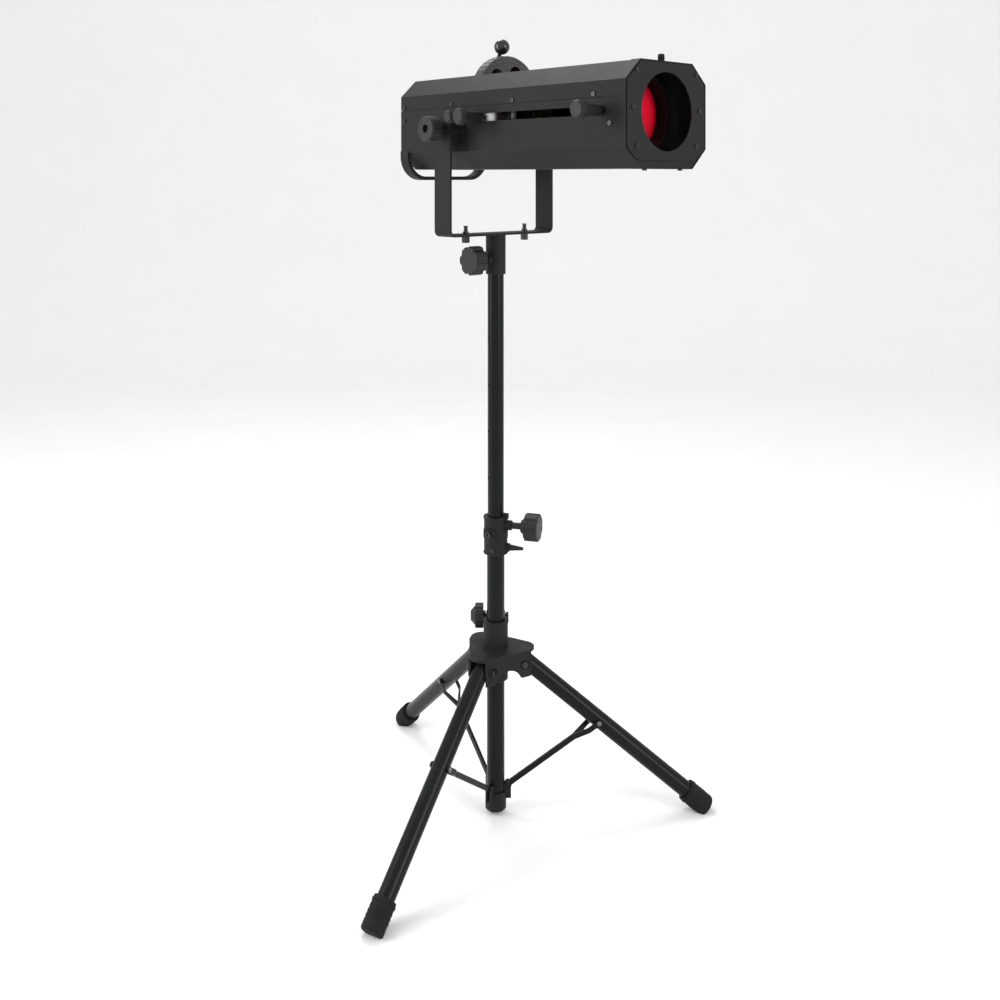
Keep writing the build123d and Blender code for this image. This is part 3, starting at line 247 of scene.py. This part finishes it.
def cast_black(name, level=0.013):
    """Black coating on a sand-textured casting, rubbed to metal on the corners."""
    f = Finish(name)
    cloud = f.grain(11, 4, 0.6)
    sand = f.grain(620, 3, 0.65)
    lumps = f.grain(120, 2, 0.5)
    pit = f.step(f.pits(330), 0.0, 0.22)
    worn = f.edges(0.0018) * f.step(f.grain(85, 5, 0.75), 0.47, 0.64)
    colour = f.mix(cloud, tone(level * 0.75), tone(level * 1.35))
    colour = f.mix(f.step(sand, 0.58, 0.74) * 0.5, colour, tone(level * 2.2))
    colour = f.mix(worn * 0.6, colour, tone(0.12, (1.0, 1.0, 1.02)))
    colour = f.mix(f.dust() * 0.14, colour, tone(0.12, (1.0, 0.96, 0.9)))
    rough = 0.42 + sand * 0.16 + cloud * 0.08 - worn * 0.15
    height = sand * 0.7 + lumps * 0.5 + pit * 0.4
    return f.surface(colour, rough, height, 0.00035, 0.0014, worn * 0.5, 0.13)


def knob_plastic(name, level=0.013, rough_base=0.36):
    """Moulded black plastic with an eroded texture, polished where fingers go."""
    f = Finish(name)
    cloud = f.grain(14, 3, 0.6)
    texture = f.grain(1700, 2, 0.5)
    flow = f.grain(60, 4, 0.6)
    edge = f.edges(0.0014)
    colour = f.mix(cloud, tone(level * 0.8), tone(level * 1.3))
    colour = f.mix(f.step(flow, 0.56, 0.7) * 0.35, colour, tone(level * 1.9))
    colour = f.mix(edge * 0.5, colour, tone(0.045))
    colour = f.mix(f.dust() * 0.10, colour, tone(0.12, (1.0, 0.97, 0.92)))
    rough = rough_base + texture * 0.10 + flow * 0.10 - edge * 0.10
    return f.surface(colour, rough, texture * 0.7 + flow * 0.3, 0.00018, 0.0012, gleam=0.24)


def gloss_ball(name):
    """Polished phenolic ball."""
    f = Finish(name)
    cloud = f.grain(22, 4, 0.6)
    hair = f.step(f.grain(1, 5, 0.75, f.stretched((60, 900, 120), turn=(0.4, 0.2, 0.7))), 0.62, 0.7)
    colour = f.mix(cloud, tone(0.006), tone(0.012))
    colour = f.mix(hair * 0.3, colour, tone(0.05))
    rough = 0.07 + cloud * 0.08 + hair * 0.15
    return f.surface(colour, rough, hair * 0.4 + cloud * 0.2, 0.00004, 0.0004)


def dark_screw(name):
    """Blackened steel, rubbed bright on the corners."""
    f = Finish(name)
    cloud = f.grain(90, 4, 0.6)
    fine = f.grain(1500, 2, 0.5)
    edge = f.edges(0.0006)
    stain = f.step(f.grain(160, 5, 0.75), 0.56, 0.7)
    colour = f.mix(cloud, tone(0.030, (1.0, 0.99, 0.97)), tone(0.065))
    colour = f.mix(stain * 0.45, colour, tone(0.035, (1.0, 0.95, 0.86)))
    colour = f.mix(edge * 0.6, colour, tone(0.34))
    rough = 0.26 + cloud * 0.12 + stain * 0.16
    return f.surface(colour, rough, fine * 0.5 + cloud * 0.5, 0.00006, 0.0004, 1.0)


def turned_metal(name, level, centre, metal=1.0, pitch=2600, rough_base=0.30):
    """Lathe-turned metal with fine rings round an axis that runs along X."""
    f = Finish(name)
    out = f.reach(centre, (0, 1, 1))
    ring = f.node("ShaderNodeMath", {"operation": "SINE"}, {0: out * pitch})
    cloud = f.grain(16, 4, 0.6)
    speck = f.grain(700, 2, 0.5)
    edge = f.edges(0.0010)
    colour = f.mix(cloud, tone(level * 0.82), tone(level * 1.15))
    colour = f.mix(f.step(speck, 0.6, 0.75) * 0.3, colour, tone(level * 0.6))
    colour = f.mix(edge * 0.6, colour, tone(min(0.8, level * 2.6)))
    rough = rough_base + cloud * 0.12 + speck * 0.08 - edge * 0.08
    height = ring * 0.25 + speck * 0.25
    return f.surface(colour, rough, height, 0.00008, 0.0006, metal)


def rubber(name):
    """Moulded rubber with a bloom and dusty scuffs."""
    f = Finish(name)
    cloud = f.grain(26, 5, 0.65)
    skin = f.grain(900, 3, 0.6)
    scuff = f.step(f.grain(120, 5, 0.75), 0.54, 0.7)
    colour = f.mix(cloud, tone(0.007), tone(0.015))
    colour = f.mix(scuff * 0.4, colour, tone(0.04, (1.0, 0.97, 0.93)))
    colour = f.mix(f.dust() * 0.2, colour, tone(0.12, (1.0, 0.96, 0.9)))
    rough = 0.62 + cloud * 0.14 + scuff * 0.10
    return f.surface(colour, rough, skin * 0.6 + scuff * 0.3, 0.00030, 0.0014, gleam=0.12)


def red_lens(name):
    """Deep red coated glass, darker towards its rim, with a little dust."""
    f = Finish(name)
    out = f.reach((0, 0, OPTIC_Z), (0, 1, 1))
    rim = f.step(out, 0.030, 0.070)
    cloud = f.grain(12, 3, 0.5)
    dust = f.step(f.grain(520, 4, 0.7), 0.66, 0.8)
    colour = f.mix(rim, (0.86, 0.010, 0.034, 1), (0.66, 0.006, 0.024, 1))
    colour = f.mix(cloud * 0.25, colour, (0.72, 0.012, 0.045, 1))
    colour = f.mix(dust * 0.3, colour, (0.75, 0.35, 0.35, 1))
    rough = 0.03 + dust * 0.3 + cloud * 0.03
    fixed = {"Transmission Weight": 0.12, "IOR": 1.52}
    return f.surface(colour, rough, cloud * 0.2 + dust * 0.2, 0.00003, 0.0005, fixed=fixed)


def clear_glass(name):
    """Optical glass with a faint coating and specks."""
    f = Finish(name)
    cloud = f.grain(15, 3, 0.5)
    dust = f.step(f.grain(480, 4, 0.7), 0.68, 0.82)
    colour = f.mix(cloud, (0.86, 0.90, 0.96, 1), (0.95, 0.96, 0.93, 1))
    colour = f.mix(dust * 0.4, colour, (0.6, 0.6, 0.58, 1))
    rough = 0.02 + dust * 0.25 + cloud * 0.02
    fixed = {"Transmission Weight": 0.92, "IOR": 1.50}
    return f.surface(colour, rough, dust * 0.2, 0.00002, 0.0004, fixed=fixed)


def filter_glass(name):
    """Five coloured filters that follow each other round the wheel."""
    f = Finish(name)
    away = f.node(
        "ShaderNodeVectorMath", {"operation": "SUBTRACT"}, {0: f.place, 1: (0, WHEEL_Y, WHEEL_Z)}
    )
    parts = f.node("ShaderNodeSeparateXYZ", {}, {0: away}, 1)
    height = f.node("ShaderNodeSeparateXYZ", {}, {0: away}, 2)
    angle = f.node("ShaderNodeMath", {"operation": "ARCTAN2"}, {0: height, 1: parts})
    share = angle * (0.5 / math.pi) + 0.5
    colour = (0.004, 0.010, 0.06, 1)
    for where, shade in (
        (0.20, (0.07, 0.05, 0.004, 1)),
        (0.40, (0.004, 0.04, 0.012, 1)),
        (0.60, (0.06, 0.006, 0.04, 1)),
        (0.80, (0.08, 0.02, 0.004, 1)),
    ):
        colour = f.mix(f.step(share, where - 0.002, where + 0.002), colour, shade)
    cloud = f.grain(30, 3, 0.5)
    dust = f.step(f.grain(500, 4, 0.7), 0.66, 0.8)
    colour = f.mix(dust * 0.3, colour, (0.5, 0.5, 0.5, 1))
    rough = 0.04 + cloud * 0.05 + dust * 0.2
    fixed = {"Transmission Weight": 0.4, "IOR": 1.5}
    return f.surface(colour, rough, cloud * 0.2, 0.00002, 0.0004, fixed=fixed)


def lamp_board(name):
    """Green board with a yellow emitter in the middle."""
    f = Finish(name)
    out = f.reach((0, 0, OPTIC_Z), (0, 1, 1))
    emitter = 1 - f.step(out, 0.0125, 0.0132)
    fine = f.grain(900, 3, 0.6)
    cloud = f.grain(60, 4, 0.6)
    colour = f.mix(cloud, (0.02, 0.13, 0.05, 1), (0.04, 0.20, 0.08, 1))
    colour = f.mix(emitter, colour, (0.82, 0.62, 0.10, 1))
    rough = 0.35 + fine * 0.15
    return f.surface(colour, rough, fine * 0.4 + cloud * 0.2, 0.00008, 0.0005)


def dark_window(name):
    """Smoked acrylic over a display that is switched off."""
    f = Finish(name)
    cloud = f.grain(24, 3, 0.6)
    hair = f.step(f.grain(1, 5, 0.75, f.stretched((120, 40, 700))), 0.64, 0.72)
    colour = f.mix(cloud, (0.008, 0.012, 0.022, 1), (0.014, 0.020, 0.034, 1))
    colour = f.mix(hair * 0.25, colour, tone(0.07))
    rough = 0.06 + cloud * 0.05 + hair * 0.2
    return f.surface(colour, rough, hair * 0.4, 0.00003, 0.0005)


coat = powder_coat("powder_coat")
# A darker copy of the black powder coat for the parts deep in the front of the housing: painted
# shade for the shadow the housing casts on them.
coat_painted_shade = powder_coat("powder_coat_painted_shade", 0.004)
tube = tube_paint("tube_enamel")
tube_worn = tube_paint("tube_enamel_rubbed", rings=True)
casting = cast_black("black_casting")
plastic = knob_plastic("knob_plastic")
trim_plastic = knob_plastic("socket_plastic", 0.018, 0.42)
button_plastic = knob_plastic("button_plastic", 0.05, 0.40)
ball = gloss_ball("ball_gloss")
screw = dark_screw("blackened_screw")
sink_metal = turned_metal("sink_aluminium", 0.55, (0, 0, OPTIC_Z))
rod_metal = turned_metal("rod_steel", 0.58, (0, 0.045, 1.404))
barrel_metal = turned_metal("barrel_aluminium", 0.62, (0, 0, OPTIC_Z))
wheel_paint = turned_metal("wheel_grey", 0.05, (0, WHEEL_Y, WHEEL_Z), 0.25, 2400, 0.42)
foot_rubber = rubber("foot_rubber")
lens_red = red_lens("lens_red")
lens_clear = clear_glass("lens_clear")
filters = filter_glass("filter_glass")
board = lamp_board("lamp_board")
window = dark_window("display_window")

FINISH_OF = {
    "lower_tube": tube, "upper_tube": tube_worn, "leg_1": tube, "leg_2": tube, "leg_3": tube,
    "base_fitting": casting, "clamp_collar": casting, "hub_casting": casting,
    "yoke_sleeve": casting, "pivot_spacers": casting,
    "clamp_bolts": screw, "hub_bolts": screw, "yoke_bolts": screw, "housing_screws": screw,
    "hub_knob": plastic, "clamp_knob": plastic, "clamp_pin": plastic, "pan_knob": plastic,
    "tilt_knob_near": plastic, "tilt_knob_far": plastic, "front_slider_knob": plastic,
    "rear_slider_knob": plastic, "lock_knob": plastic, "power_inlet": trim_plastic,
    "data_sockets": trim_plastic, "fan_frame": trim_plastic, "fan_rotor": trim_plastic,
    "power_switch": button_plastic, "menu_button_1": button_plastic,
    "menu_button_2": button_plastic, "menu_button_3": button_plastic,
    # front_carriage, gate_plate and iris_ring take the darker coat, which is painted shade for
    # their place deep in the housing.
    "menu_button_4": button_plastic, "front_carriage": coat_painted_shade, "yoke_bracket": coat,
    "upper_shell": coat, "lower_shell": coat, "front_cap": coat, "face_plate": coat,
    "rear_panel": coat, "rear_handle": coat, "gate_plate": coat_painted_shade,
    "iris_ring": coat_painted_shade, "top_thumbscrew": coat, "iris_lever": ball,
    "colour_wheel": wheel_paint, "colour_filters": filters, "rear_carriage": barrel_metal,
    "heat_sink": sink_metal, "guide_rods": rod_metal, "front_lens": lens_red,
    "rear_lens": lens_clear, "condenser_lens": lens_clear, "led_module": board,
    "display_window": window, "foot_1": foot_rubber, "foot_2": foot_rubber,
    "foot_3": foot_rubber,
}
for number, azimuth in enumerate(LEG_AZIMUTHS, 1):
    FINISH_OF[f"brace_{number}"] = tube_paint(f"brace_enamel_{number}", rivet_azimuth=azimuth)

for name, node in CAD.items():
    for place in node.material_slots:
        place.material = FINISH_OF[name]


# ---------------------------------------------------------------- repeated pieces
def add_input(tree, name, kind, value):
    socket = tree.interface.new_socket(name=name, in_out="INPUT", socket_type=kind)
    socket.default_value = value
    return socket.identifier


def link(tree, source, target):
    tree.links.new(source, target)


def ribs_round_tree():
    """Round-backed ribs that stand in a ring, for the grips of turned knobs."""
    tree = bpy.data.node_groups.new("ribs_round", "GeometryNodeTree")
    names = {
        "Count": add_input(tree, "Count", "NodeSocketInt", 24),
        "Ring Radius": add_input(tree, "Ring Radius", "NodeSocketFloat", 0.01),
        "Rib Radius": add_input(tree, "Rib Radius", "NodeSocketFloat", 0.001),
        "Rib Length": add_input(tree, "Rib Length", "NodeSocketFloat", 0.01),
        "Finish": add_input(tree, "Finish", "NodeSocketMaterial", None),
    }
    tree.interface.new_socket(name="Mesh", in_out="OUTPUT", socket_type="NodeSocketGeometry")
    given = tree.nodes.new("NodeGroupInput")
    ring = tree.nodes.new("GeometryNodeMeshCircle")
    link(tree, given.outputs["Count"], ring.inputs["Vertices"])
    link(tree, given.outputs["Ring Radius"], ring.inputs["Radius"])
    rib = tree.nodes.new("GeometryNodeMeshCylinder")
    rib.inputs["Vertices"].default_value = 8
    link(tree, given.outputs["Rib Radius"], rib.inputs["Radius"])
    link(tree, given.outputs["Rib Length"], rib.inputs["Depth"])
    finish_tree(tree, ring.outputs["Mesh"], rib.outputs["Mesh"], given)
    return tree, names


def rings_along_tree():
    """Rounded rings one after another, for thread crests and moulded grip bands."""
    tree = bpy.data.node_groups.new("rings_along", "GeometryNodeTree")
    names = {
        "Count": add_input(tree, "Count", "NodeSocketInt", 6),
        "Spacing": add_input(tree, "Spacing", "NodeSocketFloat", 0.00125),
        "Ring Radius": add_input(tree, "Ring Radius", "NodeSocketFloat", 0.004),
        "Crest Radius": add_input(tree, "Crest Radius", "NodeSocketFloat", 0.0004),
        "Finish": add_input(tree, "Finish", "NodeSocketMaterial", None),
    }
    tree.interface.new_socket(name="Mesh", in_out="OUTPUT", socket_type="NodeSocketGeometry")
    given = tree.nodes.new("NodeGroupInput")
    step = tree.nodes.new("ShaderNodeCombineXYZ")
    link(tree, given.outputs["Spacing"], step.inputs["Z"])
    row = tree.nodes.new("GeometryNodeMeshLine")
    row.mode = "OFFSET"
    link(tree, given.outputs["Count"], row.inputs["Count"])
    link(tree, step.outputs["Vector"], row.inputs["Offset"])
    path = tree.nodes.new("GeometryNodeCurvePrimitiveCircle")
    path.inputs["Resolution"].default_value = 48
    link(tree, given.outputs["Ring Radius"], path.inputs["Radius"])
    section = tree.nodes.new("GeometryNodeCurvePrimitiveCircle")
    section.inputs["Resolution"].default_value = 8
    link(tree, given.outputs["Crest Radius"], section.inputs["Radius"])
    band = tree.nodes.new("GeometryNodeCurveToMesh")
    link(tree, path.outputs["Curve"], band.inputs["Curve"])
    link(tree, section.outputs["Curve"], band.inputs["Profile Curve"])
    finish_tree(tree, row.outputs["Mesh"], band.outputs["Mesh"], given)
    return tree, names


def finish_tree(tree, points, shape, given):
    copies = tree.nodes.new("GeometryNodeInstanceOnPoints")
    link(tree, points, copies.inputs["Points"])
    link(tree, shape, copies.inputs["Instance"])
    real = tree.nodes.new("GeometryNodeRealizeInstances")
    link(tree, copies.outputs["Instances"], real.inputs["Geometry"])
    smooth = tree.nodes.new("GeometryNodeSetShadeSmooth")
    link(tree, real.outputs["Geometry"], smooth.inputs["Geometry"])
    painted = tree.nodes.new("GeometryNodeSetMaterial")
    link(tree, smooth.outputs["Geometry"], painted.inputs["Geometry"])
    link(tree, given.outputs["Finish"], painted.inputs["Material"])
    out = tree.nodes.new("NodeGroupOutput")
    link(tree, painted.outputs["Geometry"], out.inputs["Mesh"])


def to_axis(origin, direction):
    """Where a piece made along Z goes: its origin, and the way Z turns to."""
    turn = Vector((0, 0, 1)).rotation_difference(Vector(direction).normalized())
    return Matrix.Translation(origin) @ turn.to_matrix().to_4x4()


def grow(built, name, sizes, placing, body):
    """Runs a tree with those sizes and leaves one plain mesh that rides on the body."""
    tree, names = built
    start = bpy.data.objects.new(name + "_start", bpy.data.meshes.new(name + "_start"))
    bpy.context.scene.collection.objects.link(start)
    modifier = start.modifiers.new("grow", "NODES")
    modifier.node_group = tree
    for key, value in sizes.items():
        modifier[names[key]] = value
    bpy.context.view_layer.update()
    ready = start.evaluated_get(bpy.context.evaluated_depsgraph_get())
    mesh = bpy.data.meshes.new_from_object(ready)
    start.modifiers.clear()
    bpy.data.objects.remove(start)
    mesh.transform(placing)
    mesh.name = name
    piece = bpy.data.objects.new(name, mesh)
    bpy.context.scene.collection.objects.link(piece)
    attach(piece, body)
    return piece


ribs_round = ribs_round_tree()
rings_along = rings_along_tree()

grow(
    ribs_round, "thumbscrew_grip",
    {
        "Count": 28, "Ring Radius": 0.0059, "Rib Radius": 0.00045, "Rib Length": 0.009,
        "Finish": coat,
    },
    to_axis((THUMBSCREW_X, 0, THUMBSCREW_Z), (0, 0, 1)), "top_thumbscrew",
)
grow(
    ribs_round, "wheel_rim_ribs",
    {
        "Count": 40, "Ring Radius": 0.0890, "Rib Radius": 0.0011, "Rib Length": 0.020,
        "Finish": wheel_paint,
    },
    to_axis((WHEEL_X, WHEEL_Y, WHEEL_Z), (1, 0, 0)), "colour_wheel",
)
for knob, x, radius, count in (
    ("front_slider_knob", 0.408, 0.0167, 36),
    ("rear_slider_knob", 0.083, 0.0167, 36),
    ("lock_knob", 0.050, 0.0130, 28),
):
    grow(
        ribs_round, knob + "_grip",
        {
            "Count": count, "Ring Radius": radius - RIB_SINK, "Rib Radius": 0.0007,
            "Rib Length": 0.0125, "Finish": plastic,
        },
        to_axis((x, KNOB_HEAD_Y, KNOB_Z), (0, -1, 0)), knob,
    )
for side, word in ((-1, "near"), (1, "far")):
    grow(
        rings_along, f"yoke_bolt_thread_{word}",
        {
            "Count": 8, "Spacing": 0.00125, "Ring Radius": 0.0040, "Crest Radius": 0.0004,
            "Finish": screw,
        },
        to_axis((0, side * YOKE_BOLT_Y, YOKE_BOLT_THREAD_Z), (0, 0, 1)), "yoke",
    )
for number, azimuth in enumerate(LEG_AZIMUTHS, 1):
    turn = math.radians(azimuth)
    outward = Vector((math.cos(turn), math.sin(turn), 0))
    upward = Vector((0, 0, 1))
    lean = outward * math.sin(LEG_LEAN) - upward * math.cos(LEG_LEAN)
    pivot = outward * LEG_PIVOT_R + upward * LEG_PIVOT_Z
    grow(
        rings_along, f"foot_bands_{number}",
        {
            "Count": 3, "Spacing": 0.008, "Ring Radius": 0.0224, "Crest Radius": 0.0010,
            "Finish": foot_rubber,
        },
        to_axis(pivot + lean * FOOT_BANDS_ALONG, lean), f"leg_{number}",
    )


# ---------------------------------------------------------------- studio
def backdrop():
    """A pale floor that curves up into a pale wall behind."""
    half = 9.0
    across = 24
    near, far, top = -6.0, 5.0, 9.0
    bend_r = 2.5
    bend_steps = 12
    profile = [(near, 0.0), (0.0, 0.0), (far, 0.0)]
    for step in range(1, bend_steps + 1):
        bend = math.pi / 2 * step / bend_steps
        profile.append((far + bend_r * math.sin(bend), bend_r - bend_r * math.cos(bend)))
    profile.append((far + bend_r, top))
    turn = Matrix.Rotation(math.radians(VIEW_AZIMUTH + 90), 4, "Z")
    shape = bmesh.new()
    rows = []
    for along, up in profile:
        row = []
        for column in range(across + 1):
            side = -half + 2 * half * column / across
            row.append(shape.verts.new(turn @ Vector((along, side, up))))
        rows.append(row)
    for low, high in zip(rows, rows[1:]):
        for a, b, c, d in zip(low, low[1:], high[1:], high):
            shape.faces.new((a, d, c, b)).smooth = True
    mesh = bpy.data.meshes.new("studio_sweep")
    shape.to_mesh(mesh)
    shape.free()
    sweep = bpy.data.objects.new("studio_sweep", mesh)
    bpy.context.scene.collection.objects.link(sweep)
    f = Finish("studio_paper")
    cloud = f.grain(3, 2, 0.5)
    mesh.materials.append(
        f.surface(f.mix(cloud, tone(0.86), tone(0.89)), 0.75 + cloud * 0.05, None)
    )


def soft_light(name, place, aim, size, power):
    lamp = bpy.data.lights.new(name, "AREA")
    lamp.shape = "RECTANGLE"
    lamp.size, lamp.size_y = size
    lamp.energy = power
    holder = bpy.data.objects.new(name, lamp)
    holder.location = place
    away = Vector(place) - Vector(aim)
    holder.rotation_euler = away.to_track_quat("Z", "Y").to_euler()
    bpy.context.scene.collection.objects.link(holder)


backdrop()
soft_light("key_panel", (-1.6, -2.9, 1.9), (0, 0, 1.0), (0.7, 2.6), 70)
soft_light("fill_panel", (3.4, 0.5, 1.7), (0, 0, 1.0), (0.8, 2.2), 45)
soft_light("top_panel", (-1.4, 0.6, 3.6), (0, 0, 0), (1.2, 1.2), 38)
world = bpy.data.worlds.new("studio_air")
world.use_nodes = True
world.node_tree.nodes["Background"].inputs["Color"].default_value = (1, 1, 1, 1)
world.node_tree.nodes["Background"].inputs["Strength"].default_value = 0.95
bpy.context.scene.world = world
bpy.context.scene.view_settings.view_transform = "Standard"

view = bpy.data.cameras.new("view")
view.lens = 39.816
view.sensor_width = 36.0
view.shift_y = -0.324
view.clip_end = 60
eye = bpy.data.objects.new("view", view)
eye.location = (1.7652, -1.6175, 1.3751)
eye.rotation_euler = (math.radians(90), 0, math.radians(VIEW_AZIMUTH))
bpy.context.scene.collection.objects.link(eye)
bpy.context.scene.camera = eye
